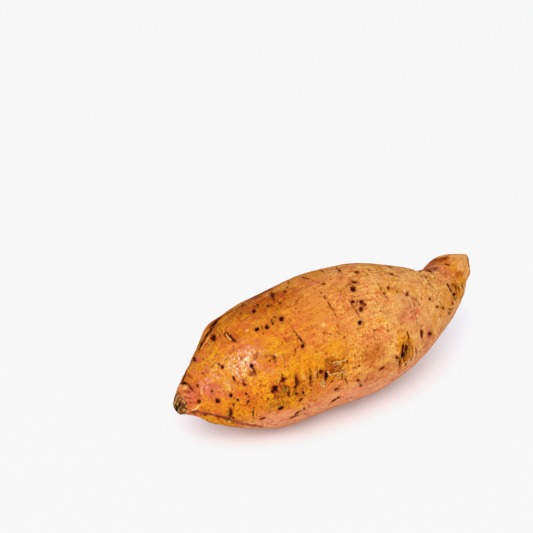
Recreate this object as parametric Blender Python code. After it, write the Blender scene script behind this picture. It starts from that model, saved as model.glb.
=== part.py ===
"""A sweet potato: one storage root, as dug, lying on its belly.

It grew as one piece, so it is one closed solid. The body is a bent spindle: round
sections of a changing girth stand square to an axis that dips at the stem end and
lifts into the tail. Lobes, dents and creases are added to the girth by formula.
The stem end stops at the small domed scar where it came off its stalk, and the tail
is cut off a little slantwise. It rests on a small flat spot under its weight.

The frame: +X runs from the stem scar to the tail, -Y is the front, +Z is up, and the
origin is the middle of the bounding box's underside. Lengths are in millimetres until
the mesh is written, and angles are in degrees.
"""

import bpy
import numpy as np

MM = 0.001

LENGTH = 171.0

# Each row is a section: its share of the length from the stem scar, its girth radius,
# the height of its centre above the table, and how far that lies to the back (+Y).
SECTIONS = (
    (0.000, 4.8, 26.2, 1.8),
    (0.035, 8.4, 26.9, 1.6),
    (0.100, 17.4, 27.8, 1.2),
    (0.200, 27.3, 29.6, 0.6),
    (0.330, 31.0, 31.2, -0.2),
    (0.470, 31.9, 32.0, -1.2),
    (0.610, 30.2, 31.2, -2.2),
    (0.740, 23.3, 30.7, -2.6),
    (0.840, 16.0, 31.4, -1.8),
    (0.900, 12.2, 34.4, -0.2),
    (0.950, 9.1, 38.1, 1.0),
    (1.000, 5.2, 39.8, 0.4),
)

# A turn is the angle round the axis: 0 at the top, 90 at the front, 180 at the belly.
# Each lobe wave: its count round the girth, its share of the radius, its phase in
# radians, and how far the phase winds from one end to the other.
LOBES = (
    (2, 0.012, 1.3, 4.0),
    (3, 0.008, 0.4, -9.0),
    (5, 0.005, 2.0, 13.0),
)

# Shallow swellings that follow one another down the length.
SWELL_HEIGHT = 0.25
SWELL_WINDING = 31.0

# Each bump or dent: its share of the length, its turn, its height (a dent's is
# negative), and its half-size along the root and round it.
BUMPS = (
    (0.078, 58.0, -1.4, 5.5, 5.5),  # the dimple near the stem
    (0.062, 92.0, 0.6, 5.0, 3.5),
    (0.060, 26.0, 0.5, 4.5, 3.0),
    (0.045, 300.0, 0.5, 4.0, 3.0),
    (0.060, 150.0, 0.7, 6.0, 4.0),
    (0.105, 122.0, -0.6, 13.0, 1.8),  # the fold along the stem end's lower front
    (0.108, 134.0, 0.5, 14.0, 3.0),
    (0.172, 312.0, 1.6, 5.5, 7.0),  # the shoulder behind the stem end's top
    (0.235, 314.0, -0.7, 7.0, 8.0),
    (0.300, 20.0, -0.4, 16.0, 12.0),
    (0.380, 112.0, 0.4, 20.0, 12.0),
    (0.520, 60.0, -0.4, 14.0, 10.0),
    (0.560, 132.0, 1.0, 11.0, 10.0),
    (0.660, 24.0, 0.6, 14.0, 13.0),
    (0.745, 116.0, 0.8, 7.0, 8.0),
    (0.825, 350.0, -2.0, 4.5, 8.0),  # the saddle where the tail leaves the body
    (0.885, 312.0, -0.9, 3.5, 6.0),
    (0.936, 308.0, 1.6, 6.0, 6.0),
    (0.350, 255.0, -0.9, 12.0, 9.0),
    (0.480, 285.0, 0.7, 16.0, 12.0),
    (0.620, 250.0, -1.1, 9.0, 12.0),
    (0.720, 270.0, 0.7, 9.0, 8.0),
    (0.250, 205.0, 0.6, 12.0, 9.0),
    (0.640, 190.0, -0.6, 10.0, 9.0),
)

# Each crease runs round the girth: its share of the length, the turn of its middle,
# its depth, its half-width along the root, the half-turn of its reach, and how far
# its ends sweep down the root.
CREASES = (
    (0.675, 62.0, 0.45, 1.6, 48.0, 2.5),
    (0.795, 12.0, 0.55, 1.5, 55.0, 3.0),
    (0.868, 22.0, 0.50, 1.4, 48.0, -2.5),
    (0.905, 60.0, 0.30, 1.3, 40.0, 2.0),
    (0.310, 36.0, 0.25, 1.3, 16.0, 1.0),
    (0.430, 12.0, 0.25, 1.4, 24.0, 2.0),
    (0.165, 5.0, 0.30, 1.3, 14.0, 1.5),
    (0.410, 285.0, 0.50, 1.8, 42.0, 3.0),
    (0.580, 235.0, 0.45, 1.6, 38.0, -2.5),
    (0.740, 262.0, 0.40, 1.5, 46.0, 2.0),
    (0.220, 215.0, 0.35, 1.5, 34.0, 1.5),
)

# The two ends close by rings: each ring's share of the end radius, then how far it
# stands out from the plane of the end.
SCAR_RINGS = ((0.90, 0.6), (0.66, 1.1), (0.36, 0.8), (0.0, 0.5))
CUT_RINGS = ((0.90, 0.45), (0.55, 0.55), (0.0, 0.45))

# The cut across the tail turns this far towards the front, and the sections lean over
# to it from this share of the length on.
CUT_LEAN = 27.0
CUT_LEANS_FROM = 0.90

# The belly is pressed flat this deep where it rests.
REST_SINK = 0.8

# Rings stand closer where the form turns quickly: share of the length, rings so far.
RING_STOPS = ((0.00, 0), (0.08, 12), (0.22, 24), (0.64, 50), (0.90, 84), (1.00, 95))
COLUMNS = 57


def smooth_through(knots, values, at):
    """The natural cubic spline through the knots: its bends m solve one set of linear equations."""
    h = np.diff(knots)
    slope = np.diff(values) / h
    count = len(knots)
    a = np.eye(count)
    b = np.zeros(count)
    for i in range(1, count - 1):
        a[i, i - 1 : i + 2] = h[i - 1], 2 * (h[i - 1] + h[i]), h[i]
        b[i] = 6 * (slope[i] - slope[i - 1])
    m = np.linalg.solve(a, b)
    k = np.clip(np.searchsorted(knots, at) - 1, 0, count - 2)
    left = at - knots[k]
    right = knots[k + 1] - at
    bend = (m[k] * right**3 + m[k + 1] * left**3) / (6 * h[k])
    from_left = (values[k] / h[k] - m[k] * h[k] / 6) * right
    from_right = (values[k + 1] / h[k] - m[k + 1] * h[k] / 6) * left
    return bend + from_left + from_right


def axis_at(share):
    """The middle of each section and its girth radius."""
    knots, girth, height, back = np.array(SECTIONS).T
    x = (share - 0.5) * LENGTH
    y = smooth_through(knots, back, share)
    z = smooth_through(knots, height, share)
    return np.stack([x, y, z], axis=-1), smooth_through(knots, girth, share)


def bell(x):
    return np.exp(-x * x)


def turn_between(turn, middle):
    """The angle from middle to turn, between -180 and 180."""
    return (turn - middle + 180.0) % 360.0 - 180.0


def relief(share, turn, girth):
    """What the lobes, swellings, bumps and creases add to the girth radius."""
    t = np.radians(turn)
    added = np.zeros_like(share)
    for count, amount, phase, winding in LOBES:
        added += girth * amount * np.cos(count * t + phase + winding * share)
    swell = np.sin(SWELL_WINDING * share + 1.5 * np.sin(t + 1.0))
    added += SWELL_HEIGHT * swell * np.minimum(girth / 20.0, 1.0)
    for at, about, height, half_length, half_width in BUMPS:
        along = (share - at) * LENGTH
        across = np.radians(turn_between(turn, about)) * girth
        added += height * bell(along / half_length) * bell(across / half_width)
    for at, about, depth, half_width, reach, sweep in CREASES:
        off = turn_between(turn, about)
        along = (share - at) * LENGTH - sweep * (off / reach) ** 2
        added -= depth * bell(along / half_width) * bell(off / reach)
    return added


def skin(share, turn, inwards, outset):
    """Points of the skin, a row to each share and a column to each turn.

    A row is scaled by inwards towards its middle, and moved by outset along the axis.
    """
    share, turn = np.meshgrid(share, turn, indexing="ij")
    middle, girth = axis_at(share)
    step = 0.001
    ahead = axis_at(np.minimum(share + step, 1.0))[0]
    behind = axis_at(np.maximum(share - step, 0.0))[0]
    along = ahead - behind
    along /= np.linalg.norm(along, axis=-1, keepdims=True)
    front = np.cross(along, [0.0, 0.0, 1.0])
    front /= np.linalg.norm(front, axis=-1, keepdims=True)
    up = np.cross(front, along)
    radius = (girth + relief(share, turn, girth)) * inwards[:, None]
    towards_front = (radius * np.sin(np.radians(turn)))[..., None]
    towards_top = (radius * np.cos(np.radians(turn)))[..., None]
    lean = np.clip((share - CUT_LEANS_FROM) / (1.0 - CUT_LEANS_FROM), 0.0, 1.0) ** 2
    lean = lean[..., None] * np.tan(np.radians(CUT_LEAN))
    moved = outset[:, None, None] - lean * towards_front
    return middle + towards_top * up + towards_front * front + moved * along


def settled(points):
    """The middle of the box moved to x = y = 0, and the lowest part pressed flat at z = 0."""
    low = points.reshape(-1, 3).min(axis=0)
    high = points.reshape(-1, 3).max(axis=0)
    middle = (low + high) / 2
    points = points - [middle[0], middle[1], low[2] + REST_SINK]
    points[..., 2] = np.maximum(points[..., 2], 0.0)
    return points


def grid_faces(rows, columns):
    """Quads between neighbouring rows, closed round the girth, facing outwards."""
    row, column = np.meshgrid(np.arange(rows - 1), np.arange(columns), indexing="ij")
    after = (column + 1) % columns
    corners = [
        row * columns + column,
        row * columns + after,
        (row + 1) * columns + after,
        (row + 1) * columns + column,
    ]
    return np.stack(corners, axis=-1).reshape(-1, 4)


def end_faces(first, pole, columns, reverse):
    """Triangles from a ring that begins at the vertex first to the pole that closes it."""
    column = np.arange(columns)
    after = (column + 1) % columns
    if reverse:
        column, after = after, column
    return np.stack([first + column, first + after, np.full(columns, pole)], axis=-1)


def body_mesh():
    share_stops, ring_stops = np.array(RING_STOPS).T
    body = np.interp(np.arange(ring_stops[-1] + 1), ring_stops, share_stops)
    scar_in, scar_out = np.array(SCAR_RINGS[::-1]).T
    cut_in, cut_out = np.array(CUT_RINGS).T
    share = np.concatenate([np.zeros(len(scar_in)), body, np.ones(len(cut_in))])
    inwards = np.concatenate([scar_in, np.ones(len(body)), cut_in])
    outset = np.concatenate([-scar_out, np.zeros(len(body)), cut_out])
    turn = np.arange(COLUMNS) * 360.0 / COLUMNS
    rows = settled(skin(share, turn, inwards, outset))

    # The first row and the last are each one point, so each is kept once, as a pole.
    rings = rows[1:-1]
    points = np.concatenate([rings.reshape(-1, 3), rows[:1, 0], rows[-1:, 0]])
    scar_pole = len(points) - 2
    cut_pole = len(points) - 1
    faces = grid_faces(len(rings), COLUMNS).tolist()
    faces += end_faces(0, scar_pole, COLUMNS, True).tolist()
    last_ring = (len(rings) - 1) * COLUMNS
    faces += end_faces(last_ring, cut_pole, COLUMNS, False).tolist()

    mesh = bpy.data.meshes.new("sweet_potato")
    mesh.from_pydata((points * MM).tolist(), [], faces)
    mesh.shade_smooth()
    return mesh


def skin_material():
    material = bpy.data.materials.new("sweet_potato_skin")
    material.use_nodes = True
    principled = material.node_tree.nodes["Principled BSDF"]
    principled.inputs["Base Color"].default_value = (0.66, 0.21, 0.042, 1.0)
    principled.inputs["Roughness"].default_value = 0.5
    return material


def main():
    for old in list(bpy.data.objects):
        bpy.data.objects.remove(old)
    mesh = body_mesh()
    mesh.materials.append(skin_material())
    potato = bpy.data.objects.new("sweet_potato", mesh)
    bpy.context.scene.collection.objects.link(potato)


main()
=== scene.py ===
# %% [markdown]
# # A sweet potato, from formulas
#
# A sweet potato is a swollen root. It tapers to a scar at one end, where it came off its
# stalk, and to a thin tail at the other. This lesson loads the plain solid as a fixed
# frame, then grows a finer skin over the same form. The skin gets the small things that a
# root carries from the soil: pits where side roots broke off, short slits that run round
# it, corky scabs, and stains of ochre and olive. Lengths are in millimetres until a mesh
# is written, because that is how such details are thought of.

import math

import bpy
import numpy as np
from mathutils import Matrix, Vector


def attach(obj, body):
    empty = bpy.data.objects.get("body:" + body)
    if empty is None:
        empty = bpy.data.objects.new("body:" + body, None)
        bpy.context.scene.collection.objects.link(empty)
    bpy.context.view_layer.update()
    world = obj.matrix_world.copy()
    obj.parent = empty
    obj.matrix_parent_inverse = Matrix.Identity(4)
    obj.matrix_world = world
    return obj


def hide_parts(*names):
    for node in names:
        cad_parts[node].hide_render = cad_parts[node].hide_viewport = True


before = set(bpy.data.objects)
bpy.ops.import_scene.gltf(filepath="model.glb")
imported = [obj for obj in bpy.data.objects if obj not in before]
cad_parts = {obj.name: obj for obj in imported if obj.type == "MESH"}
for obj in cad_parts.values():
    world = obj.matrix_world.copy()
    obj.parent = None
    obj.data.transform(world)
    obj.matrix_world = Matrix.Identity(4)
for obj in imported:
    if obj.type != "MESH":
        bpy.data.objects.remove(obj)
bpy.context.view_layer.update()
NODE = "sweet_potato"
MM = 0.001

# %% [markdown]
# ## The camera
#
# The camera comes first, because some details are placed by where the photograph shows
# them. It stands in front of the stem end, a third of the way up from level, with a
# longish lens. We build its three directions ourselves: back points from the potato to
# the camera, right and up are the picture's own sides. The same three directions will
# later carry a point of the skin to its pixel.

# %% Place the camera
PHOTO_SIDE = 533
LENS = 100.0
SENSOR = 36.0
CAMERA_AZIMUTH = -35.6
CAMERA_ELEVATION = 31.0
CAMERA_DISTANCE = 702.3
CAMERA_RIGHT = -32.6
CAMERA_UP = 33.0
CAMERA_AIM_HEIGHT = 30.0


def camera_axes(azimuth, elevation):
    """The picture's right, its up, and the way back to the camera, as unit vectors."""
    a, e = math.radians(azimuth), math.radians(elevation)
    back = np.array([math.sin(a) * math.cos(e), -math.cos(a) * math.cos(e), math.sin(e)])
    right = np.array([math.cos(a), math.sin(a), 0.0])
    return right, np.cross(back, right), back


RIGHT, UP, BACK = camera_axes(CAMERA_AZIMUTH, CAMERA_ELEVATION)
EYE = BACK * CAMERA_DISTANCE + RIGHT * CAMERA_RIGHT + UP * CAMERA_UP
EYE = EYE + [0.0, 0.0, CAMERA_AIM_HEIGHT]

camera_data = bpy.data.cameras.new("camera")
camera_data.lens = LENS
camera_data.sensor_width = SENSOR
camera = bpy.data.objects.new("camera", camera_data)
bpy.context.scene.collection.objects.link(camera)
turned = Matrix((RIGHT, UP, BACK)).transposed().to_4x4()
camera.matrix_world = Matrix.Translation(Vector(EYE * MM)) @ turned
bpy.context.scene.camera = camera
print("camera at, mm:", np.round(EYE, 1))

# %% [markdown]
# ## The form
#
# The form is a bent spindle. Round sections stand square to an axis that dips at the stem
# end and lifts into the tail, and a cubic spline runs through them, so the flank has no
# corners. The same sections, bumps and creases make the solid, so the fine skin lies on
# it. A lathe would give a perfect turning instead, and a sculpted ball would have no
# numbers to return to.

# %% Sections of the root
LENGTH = 171.0

# share of the length, girth radius, height of the middle, and its distance to the back
SECTIONS = (
    (0.000, 4.8, 26.2, 1.8),
    (0.035, 8.4, 26.9, 1.6),
    (0.100, 17.4, 27.8, 1.2),
    (0.200, 27.3, 29.6, 0.6),
    (0.330, 31.0, 31.2, -0.2),
    (0.470, 31.9, 32.0, -1.2),
    (0.610, 30.2, 31.2, -2.2),
    (0.740, 23.3, 30.7, -2.6),
    (0.840, 16.0, 31.4, -1.8),
    (0.900, 12.2, 34.4, -0.2),
    (0.950, 9.1, 38.1, 1.0),
    (1.000, 5.2, 39.8, 0.4),
)


def smooth_through(knots, values, at):
    """The natural cubic spline through the knots: its bends solve one set of linear equations."""
    h = np.diff(knots)
    slope = np.diff(values) / h
    count = len(knots)
    a = np.eye(count)
    b = np.zeros(count)
    for i in range(1, count - 1):
        a[i, i - 1 : i + 2] = h[i - 1], 2 * (h[i - 1] + h[i]), h[i]
        b[i] = 6 * (slope[i] - slope[i - 1])
    m = np.linalg.solve(a, b)
    k = np.clip(np.searchsorted(knots, at) - 1, 0, count - 2)
    left, right = at - knots[k], knots[k + 1] - at
    bend = (m[k] * right**3 + m[k + 1] * left**3) / (6 * h[k])
    from_left = (values[k] / h[k] - m[k] * h[k] / 6) * right
    from_right = (values[k + 1] / h[k] - m[k + 1] * h[k] / 6) * left
    return bend + from_left + from_right


def axis_at(share):
    """The middle of each section and its girth radius."""
    knots, girth, height, back = np.array(SECTIONS).T
    x = (share - 0.5) * LENGTH
    y = smooth_through(knots, back, share)
    z = smooth_through(knots, height, share)
    return np.stack([x, y, z], axis=-1), smooth_through(knots, girth, share)


print("girth radius at the middle, mm:", round(float(axis_at(np.array([0.5]))[1][0]), 1))

# %% [markdown]
# ## Lobes, bumps and creases
#
# No root is round. Slow waves round the girth give it soft lobes, bells push bumps out
# and dents in, and creases run part of the way round, where the root stopped and started
# growing. A turn is the angle round the axis: 0 at the top, 90 at the front.

# %% Relief of the form
# count round the girth, share of the radius, phase, winding from end to end
LOBES = ((2, 0.012, 1.3, 4.0), (3, 0.008, 0.4, -9.0), (5, 0.005, 2.0, 13.0))
SWELL_HEIGHT = 0.25
SWELL_WINDING = 31.0

# share of the length, turn, height, half-size along the root, half-size round it
BUMPS = (
    (0.078, 58.0, -1.4, 5.5, 5.5),
    (0.062, 92.0, 0.6, 5.0, 3.5),
    (0.060, 26.0, 0.5, 4.5, 3.0),
    (0.045, 300.0, 0.5, 4.0, 3.0),
    (0.060, 150.0, 0.7, 6.0, 4.0),
    (0.105, 122.0, -0.6, 13.0, 1.8),
    (0.108, 134.0, 0.5, 14.0, 3.0),
    (0.172, 312.0, 1.6, 5.5, 7.0),
    (0.235, 314.0, -0.7, 7.0, 8.0),
    (0.300, 20.0, -0.4, 16.0, 12.0),
    (0.380, 112.0, 0.4, 20.0, 12.0),
    (0.520, 60.0, -0.4, 14.0, 10.0),
    (0.560, 132.0, 1.0, 11.0, 10.0),
    (0.660, 24.0, 0.6, 14.0, 13.0),
    (0.745, 116.0, 0.8, 7.0, 8.0),
    (0.825, 350.0, -2.0, 4.5, 8.0),
    (0.885, 312.0, -0.9, 3.5, 6.0),
    (0.936, 308.0, 1.6, 6.0, 6.0),
    (0.350, 255.0, -0.9, 12.0, 9.0),
    (0.480, 285.0, 0.7, 16.0, 12.0),
    (0.620, 250.0, -1.1, 9.0, 12.0),
    (0.720, 270.0, 0.7, 9.0, 8.0),
    (0.250, 205.0, 0.6, 12.0, 9.0),
    (0.640, 190.0, -0.6, 10.0, 9.0),
)

# share, turn of the middle, depth, half-width, half-turn of the reach, sweep of the ends
CREASES = (
    (0.675, 62.0, 0.45, 1.6, 48.0, 2.5),
    (0.795, 12.0, 0.55, 1.5, 55.0, 3.0),
    (0.868, 22.0, 0.50, 1.4, 48.0, -2.5),
    (0.905, 60.0, 0.30, 1.3, 40.0, 2.0),
    (0.310, 36.0, 0.25, 1.3, 16.0, 1.0),
    (0.430, 12.0, 0.25, 1.4, 24.0, 2.0),
    (0.165, 5.0, 0.30, 1.3, 14.0, 1.5),
    (0.410, 285.0, 0.50, 1.8, 42.0, 3.0),
    (0.580, 235.0, 0.45, 1.6, 38.0, -2.5),
    (0.740, 262.0, 0.40, 1.5, 46.0, 2.0),
    (0.220, 215.0, 0.35, 1.5, 34.0, 1.5),
)


def bell(x):
    """1 at zero, falling smoothly to nothing: e to the minus x squared."""
    return np.exp(-x * x)


def turn_between(turn, middle):
    """The angle from middle to turn, between -180 and 180."""
    return (turn - middle + 180.0) % 360.0 - 180.0


def relief(share, turn, girth):
    """Adds to the girth: lobe waves, a slow swell, bells for bumps, ridged bells for creases."""
    t = np.radians(turn)
    added = np.zeros_like(share)
    for count, amount, phase, winding in LOBES:
        added += girth * amount * np.cos(count * t + phase + winding * share)
    swell = np.sin(SWELL_WINDING * share + 1.5 * np.sin(t + 1.0))
    added += SWELL_HEIGHT * swell * np.minimum(girth / 20.0, 1.0)
    for at, about, height, half_length, half_width in BUMPS:
        along = (share - at) * LENGTH
        across = np.radians(turn_between(turn, about)) * girth
        added += height * bell(along / half_length) * bell(across / half_width)
    for at, about, depth, half_width, reach, sweep in CREASES:
        off = turn_between(turn, about)
        along = (share - at) * LENGTH - sweep * (off / reach) ** 2
        added -= depth * bell(along / half_width) * bell(off / reach)
    return added


# %% [markdown]
# ## The skin as a grid
#
# Every point of the skin has two coordinates: its share of the length and its turn. A
# grid of those two, worked out as whole arrays, is the quickest way to a dense and even
# surface. The rows stand closer along the root than the columns do round it, because the
# root's slits are thin along it and long round it. The ends close with rings that shrink
# to a single point, and the tail's last rings lean over to its slanting cut.

# %% Build the grid of the skin
CUT_LEAN = 27.0
CUT_LEANS_FROM = 0.90
REST_SINK = 0.8

# at each end, from the rim to the pole: share of the end radius, height over the end
SCAR_RINGS = ((1.0, 0.0), (0.90, 0.6), (0.66, 1.1), (0.36, 0.8), (0.0, 0.5))
CUT_RINGS = ((1.0, 0.0), (0.90, 0.45), (0.55, 0.55), (0.0, 0.45))

# share of the length, rows up to there
ROW_STOPS = ((0.0, 0), (0.10, 60), (0.70, 285), (0.90, 370), (1.0, 394))
SCAR_ROWS = 10
CUT_ROWS = 8
# turn, columns up to there: they stand closest on the front, which is looked at most
TURN_STOPS = ((-20.0, 0), (0.0, 12), (140.0, 142), (340.0, 240))
COLUMNS = TURN_STOPS[-1][1]


def skin(share, turn, inwards, outset):
    """Middle + radius x inwards round the axis, the row then moved by outset along it."""
    share, turn = np.meshgrid(share, turn, indexing="ij")
    middle, girth = axis_at(share)
    step = 0.001
    along = axis_at(np.minimum(share + step, 1.0))[0] - axis_at(np.maximum(share - step, 0.0))[0]
    along /= np.linalg.norm(along, axis=-1, keepdims=True)
    front = np.cross(along, [0.0, 0.0, 1.0])
    front /= np.linalg.norm(front, axis=-1, keepdims=True)
    up = np.cross(front, along)
    radius = (girth + relief(share, turn, girth)) * inwards[:, None]
    to_front = (radius * np.sin(np.radians(turn)))[..., None]
    to_top = (radius * np.cos(np.radians(turn)))[..., None]
    lean = np.clip((share - CUT_LEANS_FROM) / (1.0 - CUT_LEANS_FROM), 0.0, 1.0) ** 2
    lean = lean[..., None] * np.tan(np.radians(CUT_LEAN))
    moved = outset[:, None, None] - lean * to_front
    return middle + to_top * up + to_front * front + moved * along


def end_profile(rings, count):
    """Shares of the end radius from near the rim to the pole, with the height at each."""
    inwards, height = np.array(rings).T
    at = np.linspace(1.0, 0.0, count + 1)[1:]
    return at, np.interp(at, inwards[::-1], height[::-1])


stop_share, stop_row = np.array(ROW_STOPS).T
body_share = np.interp(np.arange(stop_row[-1] + 1), stop_row, stop_share)
scar_in, scar_out = end_profile(SCAR_RINGS, SCAR_ROWS)
cut_in, cut_out = end_profile(CUT_RINGS, CUT_ROWS)
row_share = np.concatenate([np.zeros(SCAR_ROWS), body_share, np.ones(CUT_ROWS)])
row_inwards = np.concatenate([scar_in[::-1], np.ones(len(body_share)), cut_in])
row_outset = np.concatenate([-scar_out[::-1], np.zeros(len(body_share)), cut_out])
stop_turn, stop_column = np.array(TURN_STOPS).T
column_turn = np.interp(np.arange(COLUMNS), stop_column, stop_turn)

smooth = skin(row_share, column_turn, row_inwards, row_outset)
low, high = smooth.reshape(-1, 3).min(axis=0), smooth.reshape(-1, 3).max(axis=0)
smooth = smooth - [(low[0] + high[0]) / 2, (low[1] + high[1]) / 2, low[2] + REST_SINK]
SHARE, TURN = np.meshgrid(row_share, column_turn, indexing="ij")
GIRTH = axis_at(SHARE)[1]
print("grid:", smooth.shape[:2], "size, mm:", np.round(high - low, 1))

# %% [markdown]
# ## Which way the skin faces
#
# Small relief has to stand square to the skin, so each point needs its normal: the cross
# product of the way along the root and the way round it. Seen from the camera, a point
# whose normal turns towards the eye is on the side that the photograph shows.

# %% Normals, and the pixel of every point


def unit(v):
    return v / np.maximum(np.linalg.norm(v, axis=-1, keepdims=True), 1e-9)


def normals_of(points):
    """The cross product of the step round and the step along, which points outwards."""
    along = np.gradient(points, axis=0)
    round_it = np.roll(points, -1, axis=1) - np.roll(points, 1, axis=1)
    normal = unit(np.cross(round_it, along))
    normal[0] = unit(normal[1].mean(axis=0))
    normal[-1] = unit(normal[-2].mean(axis=0))
    return normal


def pixels_of(points):
    """Perspective: the offset from the eye, to the right and down, over the depth."""
    offset = points - EYE
    depth = -(offset @ BACK)
    scale = LENS / SENSOR * PHOTO_SIDE
    half = PHOTO_SIDE / 2
    return np.stack([half + scale * (offset @ RIGHT) / depth, half - scale * (offset @ UP) / depth], -1)


NORMAL = normals_of(smooth)
outward = ((smooth - axis_at(SHARE)[0]) * NORMAL).sum(axis=-1)[20:-20].mean()
assert outward > 0, "the normals point inwards"
PIXEL = pixels_of(smooth)
TOWARDS_EYE = (unit(EYE - smooth) * NORMAL).sum(axis=-1)
print("share of the skin that the camera sees:", round(float((TOWARDS_EYE > 0).mean()), 2))

# %% [markdown]
# ## Painting and pressing one by one
#
# A mark is worked out around one point of the skin. The offset of every other point is
# split into a part along the root, a part round it and a part off the skin, and a bell
# over the first two makes a pit, a stain or a lump. Each kind of mark has its own layer,
# a number from 0 to 1 at every point, that the material will later turn into colour. A
# hand-painted picture would be sharper, but it would fit only one unwrapping of this skin.

# %% Tools for marks
height = np.zeros(SHARE.shape)
LAYER_NAMES = ("dark", "red", "slit", "gold", "olive", "brown", "blush", "plum", "deep_tone_and_shade", "pale", "wax")
LAYERS = {name: np.zeros(SHARE.shape) for name in LAYER_NAMES}
AROUND = unit(np.roll(smooth, -1, axis=1) - np.roll(smooth, 1, axis=1))
ALONG = unit(np.cross(NORMAL, AROUND))


def at_pixels(pixels):
    """Grid positions of the nearest points that face the camera."""
    apart = PIXEL[None] - np.asarray(pixels, float)[:, None, None]
    far = (apart**2).sum(axis=-1) + np.where(TOWARDS_EYE > 0.02, 0.0, 1e6)
    return [np.unravel_index(k, SHARE.shape) for k in far.reshape(len(far), -1).argmin(axis=1)]


def offsets_from(spot):
    """Distances along the root and round it from a spot, in the plane of its skin, and a mask."""
    offset = smooth - smooth[spot]
    near = (NORMAL @ NORMAL[spot] > 0.35) & ((offset**2).sum(axis=-1) < 40.0**2)
    return offset @ ALONG[spot], offset @ AROUND[spot], near


def raise_layer(name, value):
    LAYERS[name] = np.maximum(LAYERS[name], value)


def line_distance(start, end):
    """Distance within the skin from the straight line between two spots."""
    line = smooth[end] - smooth[start]
    offset = smooth - smooth[start]
    reach = np.clip((offset @ line) / max(line @ line, 1e-9), 0.0, 1.0)
    offset = offset - reach[..., None] * line
    offset -= (offset * NORMAL).sum(axis=-1, keepdims=True) * NORMAL
    near = (NORMAL @ NORMAL[start] > 0.2) & (((smooth - smooth[start]) ** 2).sum(axis=-1) < 60.0**2)
    return np.where(near, np.linalg.norm(offset, axis=-1), 1e3)


# %% [markdown]
# ## Root scars
#
# Thin feeding roots grew straight out of the skin and broke off at harvest. Each left a
# pit about 2 mm across with a dark, dry floor and a faint raised lip. The ones on the
# side that the photograph shows are set where it shows them. Every point of the skin
# keeps its two coordinates inside the ellipse of its nearest pit. They change evenly from
# point to point, so the material can draw a crisp edge between the points of the mesh.

# %% Pits where side roots broke off
# pixel across, pixel down, width in mm, darkness, how red-brown it is
PITS = (
    (212.8, 337.4, 2.8, 1.0, 0.3), (193.8, 358.5, 2.0, 0.9, 1.0), (397.0, 358.0, 1.4, 0.9, 0.2), (294.5, 386.5, 1.2, 0.8, 0.5),
    (253.5, 310.6, 2.0, 1.0, 0.3), (257.3, 305.2, 1.2, 0.8, 0.3), (268.3, 305.8, 1.2, 0.7, 0.6),
    (281.4, 318.6, 2.3, 1.0, 0.4), (257.4, 328.8, 2.1, 1.0, 0.1), (267.0, 327.4, 2.0, 1.0, 0.1),
    (285.3, 291.8, 1.6, 0.7, 0.7), (280.0, 302.5, 1.0, 0.7, 0.6), (303.0, 346.3, 1.8, 1.0, 0.9),
    (353.3, 289.1, 2.4, 1.0, 0.5), (353.0, 301.3, 1.9, 0.9, 0.9), (361.6, 302.6, 1.9, 1.0, 0.8),
    (361.2, 308.6, 2.2, 1.0, 0.7), (364.9, 305.2, 1.2, 0.8, 1.0), (359.7, 322.6, 1.9, 1.0, 0.1),
    (251.6, 366.4, 2.0, 1.0, 0.0), (222.0, 367.2, 1.6, 0.9, 1.0), (219.6, 364.2, 1.1, 0.7, 1.0),
    (217.6, 400.7, 2.2, 0.9, 0.1), (230.3, 395.6, 1.7, 1.0, 0.4),
    (237.3, 400.0, 1.3, 1.0, 0.1), (233.3, 405.0, 1.1, 0.8, 0.5), (246.4, 394.0, 1.2, 0.8, 0.5),
    (199.2, 401.7, 2.0, 0.9, 0.9), (197.2, 385.6, 1.5, 0.8, 0.9),
    (190.5, 388.3, 1.3, 0.7, 0.4), (275.8, 388.5, 2.7, 1.0, 0.2),
    (273.0, 391.2, 1.4, 0.9, 0.3), (320.8, 371.3, 1.9, 0.9, 0.5), (288.6, 392.0, 1.2, 0.7, 0.3),
    (296.6, 394.2, 1.6, 0.8, 0.9), (302.9, 392.3, 1.4, 0.9, 0.6), (304.8, 408.6, 1.2, 0.6, 0.5),
    (358.0, 380.0, 1.4, 0.8, 0.9), (361.3, 385.5, 1.5, 0.6, 0.5), (359.0, 365.0, 1.0, 0.6, 0.8),
    (429.7, 334.0, 2.0, 0.9, 0.8), (388.7, 287.9, 1.4, 0.8, 0.6), (397.0, 291.4, 1.0, 0.5, 0.7),
    (407.8, 293.6, 1.6, 0.7, 0.8), (429.7, 299.0, 1.3, 0.7, 0.4), (437.0, 306.6, 1.2, 0.8, 0.4),
    (443.0, 308.0, 1.1, 0.9, 0.2), (452.3, 303.8, 1.2, 0.7, 0.3), (449.4, 313.3, 1.3, 0.6, 0.2),
    (454.2, 294.2, 1.6, 1.0, 0.4), (310.8, 383.0, 1.2, 0.8, 0.6), (270.2, 361.0, 1.0, 0.6, 0.7),
    (275.0, 357.5, 1.4, 0.6, 0.9), (211.8, 391.2, 1.2, 0.7, 0.8), (240.8, 313.0, 1.0, 0.5, 0.6),
    (272.0, 320.0, 0.9, 0.7, 0.4), (273.5, 316.5, 0.8, 0.6, 0.4), (367.5, 346.0, 0.8, 0.4, 0.7),
    (344.0, 337.0, 0.9, 0.5, 0.7), (323.5, 333.5, 1.0, 0.5, 0.9), (330.5, 334.0, 0.9, 0.5, 0.7),
    (374.5, 330.7, 1.1, 0.5, 0.5), (388.5, 331.0, 0.9, 0.5, 0.5), (233.0, 349.0, 0.8, 0.4, 0.6),
    (268.0, 398.5, 1.1, 0.6, 0.6), (289.0, 396.0, 1.3, 0.6, 0.7), (347.5, 361.0, 1.0, 0.6, 0.8),
)
PIT_DEPTH = 0.32
LIP = 0.3
MARK_REACH = 3.0
DASHED_FROM = 3.2

mark_radius = np.full(SHARE.shape, 9.0)
mark_place = np.zeros((*SHARE.shape, 3))


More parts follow.
